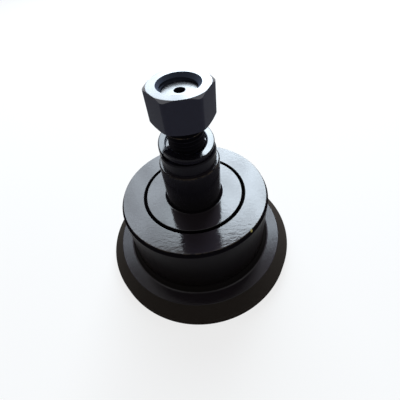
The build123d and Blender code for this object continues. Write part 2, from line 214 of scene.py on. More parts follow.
class FinishColours(PropertyGroup):
    """Colours of the finishes."""

    # Painted reflection: the brownish low and lighter bluish high colours stand in for ground and sky
    # mirrored in the black paint.
    low_enamel_and_ground_reflection: colour("Enamel low", "Black enamel near the flange, slightly brown", (0.0062, 0.0046, 0.004))
    high_enamel_and_sky_reflection: colour("Enamel high", "Black enamel up the axle, slightly blue", (0.012, 0.0105, 0.0155))
    # Painted reflection: the nut's bluish grey stands in for the sky mirrored in its black paint.
    nut_tone_and_reflection: colour("Enamel on the nut", "Greyer enamel on the nut", (0.042, 0.040, 0.056))
    # Painted reflection: a lighter bluish colour for the shaded walls of the bores, in place of what they
    # mirror.
    bore_tint_painted_reflection: colour("Enamel in the nut", "Bluish enamel in the nut's bore", (0.07, 0.08, 0.11))
    # Part haze, part painted reflection: a lighter colour on the level faces that lifts what they mirror.
    level_face_tone_and_reflection: colour("Enamel on faces", "Hazy enamel on the level faces", (0.030, 0.023, 0.029))
    # Painted reflection: a lighter brownish colour for the ground that the flange's edge mirrors.
    slope_tone_and_reflection: colour(
        "Enamel on the flange edge", "Brownish enamel on the flange's edge", (0.046, 0.037, 0.031)
    )
    dust: colour("Dust", "Pale dust in the paint", (0.16, 0.145, 0.12))
    # Edge lines in this primer colour: wear at the end cap's edge, painted highlights on the edges in view.
    undercoat_and_highlight: colour("Undercoat", "Primer that shows through at a rubbed edge", (0.17, 0.125, 0.08))
    chip: colour("Chip", "Yellow primer in a chip on the rim", (0.56, 0.46, 0.16))
    ground_steel: colour("Ground steel", "Bearing rings and balls", (0.56, 0.57, 0.58))
    turned_steel: colour("Turned steel", "Sleeves, seal case and plug", (0.44, 0.44, 0.45))
    blackened_steel: colour("Blackened steel", "Retaining rings", (0.10, 0.10, 0.105))
    cage_brass: colour("Cage brass", "Bearing cages", (0.66, 0.47, 0.20))
    rubber: colour("Rubber", "Seal lip and ring", (0.022, 0.022, 0.024))
    copper: colour("Copper", "Plug washer", (0.68, 0.34, 0.19))
    floor: colour("Floor", "Plain pale floor", (0.86, 0.86, 0.86))


class StudioSettings(PropertyGroup):
    """Camera, lamp and floor."""

    camera_distance: length("Camera distance", "How far in front of the axle line", 144.294)
    camera_height: length("Camera height", "How high over the floor", 228.243)
    camera_pitch: turn("Camera pitch", "How far the camera looks down", 49.7374922)
    camera_yaw: turn("Camera yaw", "How far the camera looks aside", 2.0384119)
    camera_roll: turn("Camera roll", "How far the camera leans", 6.6758177)
    focal_pixels: pixels("Focal length", "Focal length of the camera", 272.4975)
    centre_u: pixels("Centre across", "Image column of the optical centre", 201.6757)
    centre_v: pixels("Centre down", "Image row of the optical centre", 200.0903)
    softbox_energy: FloatProperty(
        name="Softbox energy", description="Power of the big lamp behind the roller",
        default=45.0, min=0.0, unit="POWER",
    )
    softbox_colour: colour("Softbox colour", "Cool window light", (0.78, 0.90, 1.0))
    softbox_distance: length("Softbox distance", "From the roller to the big lamp", 1200.0)
    softbox_width: length("Softbox width", "Width of the big lamp", 1120.0)
    softbox_height: length("Softbox height", "Height of the big lamp", 920.0)
    softbox_aside: turn("Softbox aside", "Direction of the big lamp, right of straight behind", 2.0)
    softbox_up: turn("Softbox up", "Height of the big lamp over the horizon", 40.0)
    softbox_left: share("Softbox left", "Strength of the lamp's left edge", 0.36)
    softbox_top: share("Softbox top", "Strength of the lamp's upper edge", 0.4)
    fill_level: share("Fill level", "Plain light from all round", 0.16)
    floor_radius: length("Floor radius", "Radius of the floor", 2500.0)
    floor_sides: IntProperty(name="Floor sides", description="Sides of the floor's edge", default=96, min=12)


# Modelling helpers


def leave_edit_mode():
    """Go back to object mode."""
    if bpy.context.mode != "OBJECT":
        bpy.ops.object.mode_set(mode="OBJECT")


def deselect_all():
    """Leave nothing selected."""
    leave_edit_mode()
    bpy.ops.object.select_all(action="DESELECT")


def pick(piece):
    """Make one object the only selected and the active one."""
    deselect_all()
    piece.select_set(True)
    bpy.context.view_layer.objects.active = piece


def edit(piece):
    """Open one object's mesh in edit mode."""
    pick(piece)
    bpy.ops.object.mode_set(mode="EDIT")


def named(piece, name):
    """Name an object and its mesh alike."""
    piece.name = name
    piece.data.name = name
    return piece


def eased(corners, closed=False):
    """Points along a half section, from corners of a radius, a height and any rounding."""
    count = len(corners)
    spots = [Vector(corner[:2]) for corner in corners]
    eases = [sum(corner[2:]) for corner in corners]
    reaches = []
    for index, ease in enumerate(eases):
        if ease == 0 or (not closed and index in (0, count - 1)):
            reaches.append(0.0)
            continue
        into = spots[index - 1] - spots[index]
        out = spots[(index + 1) % count] - spots[index]
        reaches.append(ease * tan((pi - into.angle(out)) / 2))
    points = []
    for index, reach in enumerate(reaches):
        here = spots[index]
        if reach == 0:
            points.append(here)
            continue
        ease = eases[index]
        before = spots[index - 1]
        after = spots[(index + 1) % count]
        into = (before - here).normalized()
        out = (after - here).normalized()
        bend = pi - into.angle(out)
        start = here + into * reach
        end = here + out * reach
        centre = here + (into + out).normalized() * ease / cos(bend / 2)
        if (before - start).length > reaches[index - 1] + 3 * GUARD_WIDTH:
            points.append(start + into * GUARD_WIDTH)
        first = atan2(start.y - centre.y, start.x - centre.x)
        swing = atan2(end.y - centre.y, end.x - centre.x) - first
        swing = (swing + pi) % (2 * pi) - pi
        steps = max(2, ceil(degrees(bend) / ARC_STEP_DEGREES))
        for step in range(steps + 1):
            angle = first + swing * step / steps
            points.append(centre + Vector((cos(angle), sin(angle))) * ease)
        if (after - end).length > reaches[(index + 1) % count] + 3 * GUARD_WIDTH:
            points.append(end + out * GUARD_WIDTH)
    if closed:
        points.append(points[0].copy())
    return points


def drawn_outline(name, points):
    """Draw a line in the XZ plane by extruding one point from corner to corner."""
    deselect_all()
    bpy.ops.mesh.primitive_plane_add(size=2 * MM, location=(0, 0, 0))
    piece = named(bpy.context.object, name)
    bpy.ops.object.mode_set(mode="EDIT")
    bpy.ops.mesh.select_all(action="SELECT")
    bpy.ops.mesh.merge(type="CENTER")
    bpy.ops.transform.translate(value=(points[0].x, 0, points[0].y))
    for before, after in zip(points, points[1:]):
        step = (after.x - before.x, 0, after.y - before.y)
        bpy.ops.mesh.extrude_vertices_move(TRANSFORM_OT_translate={"value": step})
    return piece


def weld():
    """Merge what meets, in edit mode."""
    bpy.ops.mesh.select_all(action="SELECT")
    bpy.ops.mesh.remove_doubles(threshold=MERGE_DISTANCE)


def close_surface():
    """Merge what meets and turn the faces outwards, in edit mode."""
    weld()
    bpy.ops.mesh.normals_make_consistent(inside=False)
    leave_edit_mode()


def apply_modifier(piece, modifier):
    """Make a modifier's result the object's own mesh."""
    pick(piece)
    bpy.ops.object.modifier_apply(modifier=modifier.name)


def turned_piece(name, points, steps=SPIN_STEPS):
    """Spin a half section round the axle line into a closed solid."""
    piece = drawn_outline(name, points)
    bpy.ops.mesh.select_all(action="SELECT")
    bpy.ops.mesh.spin(steps=steps, angle=2 * pi, center=(0, 0, 0), axis=(0, 0, 1))
    close_surface()
    return piece


def wound_piece(name, points, angle, rise, turns, steps):
    """Wind a closed section round the axle line, and close both ends."""
    piece = drawn_outline(name, points)
    weld()
    leave_edit_mode()
    wind = piece.modifiers.new("Wind", "SCREW")
    wind.axis = "Z"
    wind.angle = angle
    wind.screw_offset = rise
    wind.iterations = turns
    wind.steps = steps
    wind.render_steps = steps
    wind.use_normal_calculate = True
    apply_modifier(piece, wind)
    edit(piece)
    weld()
    bpy.ops.mesh.fill_holes(sides=0)
    close_surface()
    return piece


def thread_cutter(name, root, root_half, crest, crest_flat, start, end, pitch):
    """A bar wound along a thread, from its root radius to a little past its crest radius."""
    over = 0.2 * MM
    mouth = crest + (over if crest > root else -over)
    mouth_half = (pitch - crest_flat) / 2 + over * tan(HALF_SIXTY)
    section = [
        Vector((radius, start + half))
        for radius, half in (
            (root, -root_half), (mouth, -mouth_half), (mouth, mouth_half), (root, root_half),
            (root, -root_half),
        )
    ]
    turns = ceil((end - start) / pitch) + 1
    return wound_piece(name, section, 2 * pi, pitch, turns, THREAD_STEPS)


def combine(piece, tool, operation):
    """Cut or trim one solid with another, and take the other away."""
    combined = piece.modifiers.new(operation.title(), "BOOLEAN")
    combined.operation = operation
    combined.solver = "EXACT"
    combined.object = tool
    apply_modifier(piece, combined)
    pick(tool)
    bpy.ops.object.delete()
    if not piece.data.polygons:
        raise RuntimeError(f"{piece.name} was lost while it was combined")


def smooth(piece, degrees_limit=32.0):
    """Shade smooth, but keep edges sharper than the limit."""
    pick(piece)
    bpy.ops.object.shade_smooth_by_angle(angle=radians(degrees_limit))


def settle(piece):
    """Put the object's own place and turn into its mesh."""
    pick(piece)
    bpy.ops.object.transform_apply(location=True, rotation=True, scale=True)


def finish_zone(
    piece, finish, outside=-inf, inside=inf, above=-inf, below=inf, up_over=-inf, up_under=inf,
    before=inf, middle=(0.0, 0.0),
):
    """Give a finish to the faces of a zone.

    The zone is bounded by distances from the axle line, or from another middle, by heights, and
    by the upward share of the faces' normals. It can be kept to the side before a depth.
    """
    slots = piece.data.materials
    if finish.name not in slots:
        slots.append(finish)
    edit(piece)
    bpy.ops.mesh.select_all(action="DESELECT")
    form = bmesh.from_edit_mesh(piece.data)
    for face in form.faces:
        centre = face.calc_center_median()
        face.select_set(
            outside < (centre.xy - Vector(middle)).length < inside
            and above < centre.z < below and up_over < face.normal.z < up_under
            and centre.y < before
        )
    bmesh.update_edit_mesh(piece.data)
    piece.active_material_index = slots.find(finish.name)
    bpy.ops.object.material_slot_assign()
    leave_edit_mode()


def finish_faces(piece, side_finish, face_finish, flatness=LEVEL):
    """Give the piece its side finish, and its level upward faces their own."""
    piece.data.materials.clear()
    piece.data.materials.append(side_finish)
    finish_zone(piece, face_finish, up_over=flatness)


# Node helpers


def add_node(tree, kind, **settings):
    """Add a node and set its plain settings."""
    node = tree.nodes.new(kind)
    for key, value in settings.items():
        setattr(node, key, value)
    return node


def node_of(tree, kind):
    """The first node of a type."""
    return next(node for node in tree.nodes if node.type == kind)


def feed(socket, value):
    """Link a socket to another, or set it to a constant."""
    if isinstance(value, bpy.types.NodeSocket):
        socket.id_data.links.new(value, socket)
    elif socket.type == "RGBA":
        socket.default_value = (*value, 1.0)
    else:
        socket.default_value = value


def calculate(operation, tree, *values, clamp=False):
    """A Math node's result."""
    node = add_node(tree, "ShaderNodeMath", operation=operation, use_clamp=clamp)
    for socket, value in zip(node.inputs, values):
        feed(socket, value)
    return node.outputs[0]


plus = partial(calculate, "ADD")
minus = partial(calculate, "SUBTRACT")
times = partial(calculate, "MULTIPLY")


def sway(tree, value, width):
    """A value from zero to one, moved to lie evenly about zero."""
    return times(tree, minus(tree, value, 0.5), width)


def vary(tree, value, low, high, to_low=0.0, to_high=1.0):
    """Map a value smoothly from one range to another."""
    node = add_node(tree, "ShaderNodeMapRange", interpolation_type="SMOOTHSTEP")
    for socket, entry in zip(node.inputs[:5], (value, low, high, to_low, to_high)):
        feed(socket, entry)
    return node.outputs[0]


def mixed(tree, factor, first, second):
    """Two colours mixed by a factor."""
    node = add_node(tree, "ShaderNodeMix", data_type="RGBA")
    feed(node.inputs["Factor"], factor)
    feed(node.inputs[6], first)
    feed(node.inputs[7], second)
    return node.outputs[2]


def noise(tree, position, scale, **settings):
    """A noise value on the given position."""
    node = add_node(tree, "ShaderNodeTexNoise")
    for label, entry in {"vector": position, "scale": scale, **settings}.items():
        feed(node.inputs[label.capitalize()], entry)
    return node.outputs["Fac"]


def split(tree, position):
    """The three parts of a position."""
    node = add_node(tree, "ShaderNodeSeparateXYZ")
    feed(node.inputs[0], position)
    return node.outputs


def axis_parts(tree, position):
    """Distance from the axle line, and height, of a position."""
    across, deep, height = split(tree, position)
    level = add_node(tree, "ShaderNodeCombineXYZ")
    feed(level.inputs[0], across)
    feed(level.inputs[1], deep)
    distance = add_node(tree, "ShaderNodeVectorMath", operation="LENGTH")
    feed(distance.inputs[0], level.outputs[0])
    return distance.outputs["Value"], height


def new_group(name, inputs, outputs):
    """A shader node group; each socket is given as its name, its kind and any default."""
    group = bpy.data.node_groups.new(name, "ShaderNodeTree")
    for way, sockets in (("INPUT", inputs), ("OUTPUT", outputs)):
        for label, kind, *default in sockets:
            socket = group.interface.new_socket(
                name=label, in_out=way, socket_type=f"NodeSocket{kind}"
            )
            if default:
                socket.default_value = default[0]
    given = group.nodes.new("NodeGroupInput").outputs
    result = group.nodes.new("NodeGroupOutput").inputs
    return group, given, result


def enamel_surface_group():
    """Waviness, dust and tone of thick black enamel; the tone's climb with height is painted reflection."""
    inputs = (
        ("Position", "Vector"),
        ("Low colour", "Color", (0.0, 0.0, 0.0, 1.0)),
        ("High colour", "Color", (0.0, 0.0, 0.0, 1.0)),
        ("Dust colour", "Color", (0.2, 0.2, 0.2, 1.0)),
        ("Dust amount", "Float", 0.3),
        ("Peel scale", "Float", 260.0),
        ("Base roughness", "Float", 0.15),
    )
    outputs = (("Colour", "Color"), ("Roughness", "Float"), ("Height", "Float"))
    group, given, result = new_group("enamel_surface", inputs, outputs)
    position = given["Position"]
    _, height = axis_parts(group, position)
    # Painted reflection: the colour climbs with height from the ground's tint to the sky's.
    painted_reflection_climb = vary(group, height, 0.0, 0.15)
    clouds = noise(group, position, scale=22.0, detail=3.0)
    tone = plus(group, painted_reflection_climb, sway(group, clouds, 0.5), clamp=True)
    shade = mixed(group, tone, given["Low colour"], given["High colour"])
    specks = vary(group, noise(group, position, scale=1400.0, detail=1.0), 0.72, 0.80)
    drifts = vary(group, noise(group, position, scale=45.0), 0.50, 0.72)
    dust = times(group, times(group, specks, drifts), given["Dust amount"], clamp=True)
    feed(result["Colour"], mixed(group, dust, shade, given["Dust colour"]))
    patches = sway(group, noise(group, position, scale=60.0, detail=4.0), 0.10)
    rough = plus(group, given["Base roughness"], patches)
    feed(result["Roughness"], plus(group, rough, times(group, dust, 0.4), clamp=True))
    stretched = add_node(group, "ShaderNodeMapping")
    feed(stretched.inputs["Vector"], position)
    feed(stretched.inputs["Rotation"], (0.0, 0.0, radians(35.0)))
    feed(stretched.inputs["Scale"], (0.55, 1.3, 1.0))
    peel = noise(group, stretched.outputs[0], given["Peel scale"], distortion=0.6)
    swell = noise(group, position, scale=70.0, detail=1.0)
    feed(result["Height"], plus(group, peel, times(group, swell, 0.8)))
    return group


def turning_lines_group():
    """Faint concentric lines left by the lathe between two radii."""
    inputs = (
        ("Position", "Vector"),
        ("Inner radius", "Float"),
        ("Outer radius", "Float", 0.1),
        ("Spacing", "Float", 0.001),
    )
    group, given, result = new_group("turning_lines", inputs, [("Height", "Float")])
    radius, _ = axis_parts(group, given["Position"])
    wander = times(group, noise(group, given["Position"], scale=30.0, detail=1.0), 0.35 * MM)
    phase = calculate("DIVIDE", group, plus(group, radius, wander), given["Spacing"])
    wave = calculate("SINE", group, times(group, phase, 2 * pi))
    inside = calculate("GREATER_THAN", group, radius, given["Inner radius"])
    within = calculate("LESS_THAN", group, radius, given["Outer radius"])
    feed(result["Height"], times(group, wave, times(group, inside, within)))
    return group


def edge_wear_and_highlight_group():
    """Mask of a broken line along a turned edge: rubbed paint on some edges, a painted highlight on others.
    """
    inputs = (
        ("Position", "Vector"),
        ("Edge radius", "Float", 0.05),
        ("Edge height", "Float", 0.05),
        ("Width", "Float", 0.0006),
        ("Wear", "Float", 0.5),
    )
    group, given, result = new_group("edge_wear_and_highlight", inputs, [("Mask", "Float")])
    radius, height = axis_parts(group, given["Position"])
    across = minus(group, radius, given["Edge radius"])
    up = minus(group, height, given["Edge height"])
    squared = plus(group, times(group, across, across), times(group, up, up))
    away = calculate("DIVIDE", group, calculate("SQRT", group, squared), given["Width"])
    near = minus(group, 1.0, away, clamp=True)
    gaps = noise(group, given["Position"], scale=320.0, detail=4.0, roughness=0.65)
    broken = vary(group, gaps, 0.42, 0.62)
    feed(result["Mask"], times(group, times(group, near, broken), given["Wear"], clamp=True))
    return group


GROUP_MAKERS = {
    "enamel_surface": enamel_surface_group,
    "turning_lines": turning_lines_group,
    "edge_wear_and_highlight": edge_wear_and_highlight_group,
}


def use_group(tree, effect, **values):
    """Place a shared effect in a material with its own values; returns its outputs."""
    group = bpy.data.node_groups.get(effect) or GROUP_MAKERS[effect]()
    node = add_node(tree, "ShaderNodeGroup", node_tree=group)
    for label, value in values.items():
        feed(node.inputs[label.replace("_", " ").capitalize()], value)
    return node.outputs


def new_finish(name):
    """An empty material with its shader and an Object coordinate."""
    finish = bpy.data.materials.new(name)
    finish.use_nodes = True
    tree = finish.node_tree
    tree.nodes.clear()
    output = tree.nodes.new("ShaderNodeOutputMaterial")
    shader = tree.nodes.new("ShaderNodeBsdfPrincipled")
    tree.links.new(shader.outputs[0], output.inputs[0])
    place = tree.nodes.new("ShaderNodeTexCoord")
    return finish, tree, shader.inputs, place.outputs["Object"]


def raise_surface(tree, height, shader, distance):
    """Bump a surface by a height, times a distance."""
    bump = add_node(tree, "ShaderNodeBump")
    bump.inputs["Strength"].default_value = 1.0
    bump.inputs["Distance"].default_value = distance
    feed(bump.inputs["Height"], height)
    feed(shader["Normal"], bump.outputs[0])


def enamel(
    name, gloss, roughness, tone=None, peel_scale=260.0, relief=0.02 * MM, dust=0.25, lines=None,
    edges=(), chip=None, lean=0.0,
):
    """Thick black enamel, with lathe lines, edge lines of wear and painted highlight, or a chip, where
    given.

    The relief is the height of the paint's waves. The lean tips the shine towards the front.
    """
    colours = bpy.context.scene.roller_finishes
    finish, tree, shader, position = new_finish(name)
    surface = use_group(
        tree, "enamel_surface", position=position, low_colour=tone or colours.low_enamel_and_ground_reflection,
        high_colour=tone or colours.high_enamel_and_sky_reflection, dust_colour=colours.dust, dust_amount=dust,
        peel_scale=peel_scale, base_roughness=roughness,
    )
    shade = surface["Colour"]
    for edge in edges:
        mask = use_group(tree, "edge_wear_and_highlight", position=position, **edge)["Mask"]
        shade = mixed(tree, mask, shade, colours.undercoat_and_highlight)
    if chip:
        place, radius = chip
        spot = add_node(tree, "ShaderNodeVectorMath", operation="DISTANCE")
        feed(spot.inputs[0], position)
        feed(spot.inputs[1], place)
        ragged = times(tree, noise(tree, position, scale=900.0), radius)
        reach = plus(tree, spot.outputs["Value"], ragged)
        bare = calculate("LESS_THAN", tree, reach, radius * 1.25)
        shade = mixed(tree, bare, shade, colours.chip)
    feed(shader["Base Color"], shade)
    feed(shader["Roughness"], surface["Roughness"])
    shader["Specular IOR Level"].default_value = gloss
    height = surface["Height"]
    if lines:
        line_height = 0.25
        grooves = use_group(tree, "turning_lines", position=position, **lines)["Height"]
        height = plus(tree, height, times(tree, grooves, line_height))
    if lean:
        _, deep, _ = split(tree, position)
        height = plus(tree, height, times(tree, deep, tan(lean) / relief))
    raise_surface(tree, height, shader, relief)
    return finish


def bare_metal(name, tint, roughness):
    """Machined metal with a fine grain."""
    finish, tree, shader, position = new_finish(name)
    grain = noise(tree, position, scale=900.0, detail=3.0)
    clouds = noise(tree, position, scale=90.0, detail=3.0)
    darker = [channel * 0.72 for channel in tint]
    feed(shader["Base Color"], mixed(tree, vary(tree, clouds, 0.35, 0.65), darker, tint))
    feed(shader["Roughness"], plus(tree, sway(tree, grain, 0.25), roughness, clamp=True))
    shader["Metallic"].default_value = 1.0
    raise_surface(tree, grain, shader, 0.012 * MM)
    return finish


def moulded_rubber(name, tint):
    """Matt nitrile rubber with a fine skin."""
    finish, tree, shader, position = new_finish(name)
    skin = noise(tree, position, scale=1500.0, detail=3.0)
    bloom = vary(tree, noise(tree, position, scale=110.0, detail=3.0), 0.4, 0.75)
    paler = [channel * 1.8 for channel in tint]
    feed(shader["Base Color"], mixed(tree, bloom, tint, paler))
    feed(shader["Roughness"], vary(tree, skin, 0.2, 0.8, 0.5, 0.7))
    raise_surface(tree, skin, shader, 0.02 * MM)
    return finish


def dress(node, finish):
    """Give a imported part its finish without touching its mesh."""
    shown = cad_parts[node]
    shown.data.materials.clear()
    shown.data.materials.append(finish)


# Operators, one for each piece or group of like pieces, after the functions that each needs


def shell_outline(size):
    """Corners of the half section, each with any rounding."""
    soft = size.edge_round
    foot_chamfer = 1.0 * MM
    bevel_round = 0.9 * MM
    face_round = 0.7 * MM
    chamfer_round = 0.6 * MM
    rim_round = 0.55 * MM
    seal_top = SHELL_BORE[0][1] * MM
    cap_seat = SHELL_BORE[-2][0] * MM
    corners = [
        (cap_seat, 0.0),
        (size.flange_radius - foot_chamfer, 0.0, soft),
        (size.flange_radius, foot_chamfer, soft),
        (size.flange_radius, size.flange_edge_height, bevel_round),
        (size.face_radius, size.face_height, face_round),
        (size.tread_radius, size.face_height, size.tread_fillet),
        (size.tread_radius, size.rim_height - size.rim_chamfer_height, chamfer_round),
        (size.tread_radius - size.rim_chamfer_width, size.rim_height, rim_round),
        (size.mouth_radius + size.mouth_chamfer, size.rim_height, soft),
        (size.mouth_radius, size.rim_height - size.mouth_chamfer, soft),
        (size.mouth_radius, seal_top),
    ]
    for radius, top, bottom in SHELL_BORE:
        corners += [(radius * MM, top * MM), (radius * MM, bottom * MM)]
    corners.append((cap_seat, bottom * MM))
    return corners


def paint_shell(piece, size, colours):
    """Give the shell's zones their enamel."""
    # Painted highlight: a thin light line in primer colour along the flange's lower edge.
    flange_edge = {
        "edge_radius": size.flange_radius - 0.5 * MM, "edge_height": 0.4 * MM,
        "width": 0.6 * MM, "wear": 0.9,
    }
    # Painted highlight: a thin tan line in primer colour along the rim's outer edge.
    rim_edge = {
        "edge_radius": size.tread_radius - size.rim_chamfer_width,
        "edge_height": size.rim_height, "width": 0.7 * MM, "wear": 0.35,
    }
    lathe_lines = {
        "inner_radius": size.tread_radius, "outer_radius": size.face_radius,
        "spacing": 1.1 * MM,
    }
    edges = (flange_edge, rim_edge)
    chip = (Vector((35.2, -43.55, 69.3)) * MM, 1.3 * MM)
    wall = size.mouth_radius + ZONE_SLACK
    # Painted reflection: the level faces, the flange's face too, get a lighter colour than the sides, partly
    # haze and partly the surroundings they mirror.
    finish_faces(
        piece,
        enamel("shell_side_enamel", gloss=0.02, roughness=0.3, edges=edges, chip=chip),
        enamel(
            "shell_face_tone_and_reflection", tone=colours.level_face_tone_and_reflection, edges=edges, chip=chip, **LEVEL_FACE
        ),
    )
    finish_zone(
        piece,
        enamel(
            "flange_face_tone_and_reflection", gloss=0.2, roughness=0.12, tone=colours.level_face_tone_and_reflection,
            peel_scale=300.0, relief=0.03 * MM, lines=lathe_lines,
        ),
        above=size.face_height - ZONE_SLACK, below=size.face_height + ZONE_SLACK,
        up_over=LEVEL,
    )
    finish_zone(
        piece,
        enamel("rim_edge_enamel", gloss=0.0, roughness=0.4, edges=edges, chip=chip),
        outside=size.tread_radius - 2.0 * MM,
        above=size.rim_height - size.rim_chamfer_height, up_under=LEVEL,
    )
    # Painted reflection: the flange's bevel and outer wall get a lighter brownish colour and no gloss, in
    # place of the ground they mirror.
    finish_zone(
        piece,
        enamel(
            "shell_slope_painted_reflection", gloss=0.0, roughness=0.4, tone=colours.slope_tone_and_reflection,
            edges=edges,
        ),
        outside=size.face_radius, up_under=LEVEL,
    )
    finish_zone(piece, enamel("groove_enamel", gloss=0.0, roughness=0.5, dust=0.0), inside=wall)
    finish_zone(
        piece, enamel("mouth_lip_enamel", gloss=0.2, roughness=0.15), outside=wall,
        inside=size.tread_radius - 5.0 * MM, up_over=0.1, up_under=LEVEL,
    )


class ROLLER_OT_shell(Operator):
    """Turn the flanged shell and give it its black enamel"""

    bl_idname = "roller.shell"
    bl_label = "Roller shell"

    def execute(self, context):
        size = context.scene.roller_shell
        piece = turned_piece("shell_body", eased(shell_outline(size), closed=True))
        smooth(piece)
        paint_shell(piece, size, context.scene.roller_finishes)
        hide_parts("roller_shell")
        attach(piece, "roller")
        return {"FINISHED"}


def axle_outline(size, rim):
    """Corners of the half section from the lower centre hole to the upper one."""
    soft = size.edge_round
    flange_low = rim - size.flange_thickness
    cone_depth = (size.centre_hole_radius - size.centre_pilot_radius) / tan(HALF_SIXTY)
    pilot_depth = cone_depth + 3.0 * MM
    low_end = 8.7 * MM
    low_chamfer = 1.0 * MM
    journal = 17.5 * MM
    journal_top = 52.4 * MM
    ring_groove = 16.5 * MM
    ring_low = 11.8 * MM
    ring_high = 13.4 * MM
    seal_land = 22.5 * MM
    disc_round = 0.4 * MM
    relief_round = 0.15 * MM
    stud_round = 0.2 * MM
    relief_radius = size.spigot_radius - size.relief_depth
    relief_top = size.shank_top + size.relief_width
    stud_low = size.spigot_top + size.stud_relief_length
    stud_chamfer_height = size.stud_chamfer * 1.6
    pilot_end = size.stud_top - pilot_depth
    return [
        (0.0, low_end + pilot_depth + size.centre_pilot_radius),
        (size.centre_pilot_radius, low_end + pilot_depth),
        (size.centre_pilot_radius, low_end + cone_depth),
        (size.centre_hole_radius, low_end),
        (journal - low_chamfer, low_end, soft),
        (journal, low_end + low_chamfer, soft),
        (journal, ring_low),
        (ring_groove, ring_low),
        (ring_groove, ring_high),
        (journal, ring_high),
        (journal, journal_top),
        (seal_land, journal_top),
        (seal_land, flange_low),
        (size.flange_radius, flange_low, soft),
        (size.flange_radius, rim, disc_round),
        (size.shank_radius, rim, size.shank_fillet),
        (size.shank_radius, size.shank_top - size.shank_chamfer, soft),
        (size.shank_radius - size.shank_chamfer, size.shank_top, soft),
        (relief_radius, size.shank_top, soft),
        (relief_radius, relief_top, relief_round),
        (size.spigot_radius, relief_top, relief_round),
        (size.spigot_radius, size.spigot_top - size.spigot_chamfer, soft),
        (size.spigot_radius - size.spigot_chamfer, size.spigot_top, soft),
        # This corner bounds the painted shade on the spigot's end.
        (size.shaded_seat_radius, size.spigot_top),
        (size.stud_relief_radius, size.spigot_top),
        (size.stud_relief_radius, stud_low),
        (size.stud_radius, stud_low + size.stud_radius - size.stud_relief_radius),
        (size.stud_radius, size.stud_top - stud_chamfer_height),
        (size.stud_radius - size.stud_chamfer, size.stud_top, stud_round),
        (size.centre_hole_radius, size.stud_top, stud_round),
        (size.centre_pilot_radius, size.stud_top - cone_depth),
        (size.centre_pilot_radius, pilot_end),
        (0.0, pilot_end - size.centre_pilot_radius),
    ]


def paint_axle(piece, size, rim, colours):
    """Give the axle's zones their enamel."""
    # Painted highlight: a thin tan line in primer colour round the shoulder's edge.
    shoulder = {
        "edge_radius": size.shank_radius - 0.4 * MM, "edge_height": size.shank_top - 0.4 * MM,
        "width": 0.8 * MM, "wear": 0.4,
    }
    # Painted highlight: a tan line in primer colour on the thread's crest at one height.
    crest = {
        "edge_radius": size.stud_radius, "edge_height": 129.1 * MM, "width": 0.7 * MM,
        "wear": 0.7,
    }
    disc_edge = size.flange_radius - 0.5 * MM
    lip_steepest = 0.3
    # Painted reflection: the axle's level faces get the same lighter colour.
    finish_faces(
        piece,
        enamel("axle_side_enamel", gloss=0.12, roughness=0.18),
        enamel("axle_face_tone_and_reflection", tone=colours.level_face_tone_and_reflection, **LEVEL_FACE),
    )
    dull = enamel("disc_rim_enamel", gloss=0.0, roughness=0.5, dust=0.0)
    finish_zone(piece, dull, outside=disc_edge, up_under=lip_steepest)
    finish_zone(
        piece, dull, outside=size.shank_radius + ZONE_SLACK / 2,
        inside=size.shank_radius + size.shank_fillet + 0.3 * MM, above=rim, up_under=LEVEL,
    )
    # Painted shade: the spigot's end outside the seat, in front only, gets the dark dull finish where the
    # washer's raised end shades it.
    finish_zone(
        piece, dull, outside=size.shaded_seat_radius, above=size.spigot_top - ZONE_SLACK / 2,
        below=size.spigot_top + ZONE_SLACK / 2, before=0.0,
    )
    finish_zone(
        piece, enamel("disc_lip_enamel", gloss=0.2, roughness=0.15), outside=disc_edge,
        up_over=lip_steepest, up_under=LEVEL,
    )
    finish_zone(
        piece, enamel("stud_end_enamel", gloss=1.0, roughness=0.25),
        above=size.stud_top - ZONE_SLACK, up_over=LEVEL,
    )
    finish_zone(
        piece, enamel("spigot_enamel", gloss=0.05, roughness=0.25, edges=[shoulder]),
        outside=size.stud_radius + 1.0 * MM,
        above=size.shank_top - size.shank_chamfer - 2 * ZONE_SLACK,
        below=size.spigot_top - ZONE_SLACK, up_under=LEVEL,
    )
    finish_zone(
        piece, enamel("thread_enamel", gloss=0.02, roughness=0.3, edges=[crest]),
        inside=size.stud_radius + ZONE_SLACK, above=size.spigot_top + 2 * ZONE_SLACK,
        below=size.stud_top - 1.0 * MM,
    )


class ROLLER_OT_axle(Operator):
    """Turn the stub axle, cut the stud's thread and give it its black enamel"""

    bl_idname = "roller.axle"
    bl_label = "Stub axle"

    def execute(self, context):
        size = context.scene.roller_axle
        rim = context.scene.roller_shell.rim_height
        piece = turned_piece("axle_body", eased(axle_outline(size, rim)))
        cutter = thread_cutter(
            "thread_cutter", root=size.thread_root_radius, root_half=0.2 * MM,
            crest=size.stud_radius, crest_flat=size.thread_crest,
            start=size.spigot_top + THREAD_START, end=size.stud_top, pitch=size.thread_pitch,
        )
        combine(piece, cutter, "DIFFERENCE")
        smooth(piece)
        paint_axle(piece, size, rim, context.scene.roller_finishes)
        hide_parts("axle")
        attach(piece, "axle")
        return {"FINISHED"}


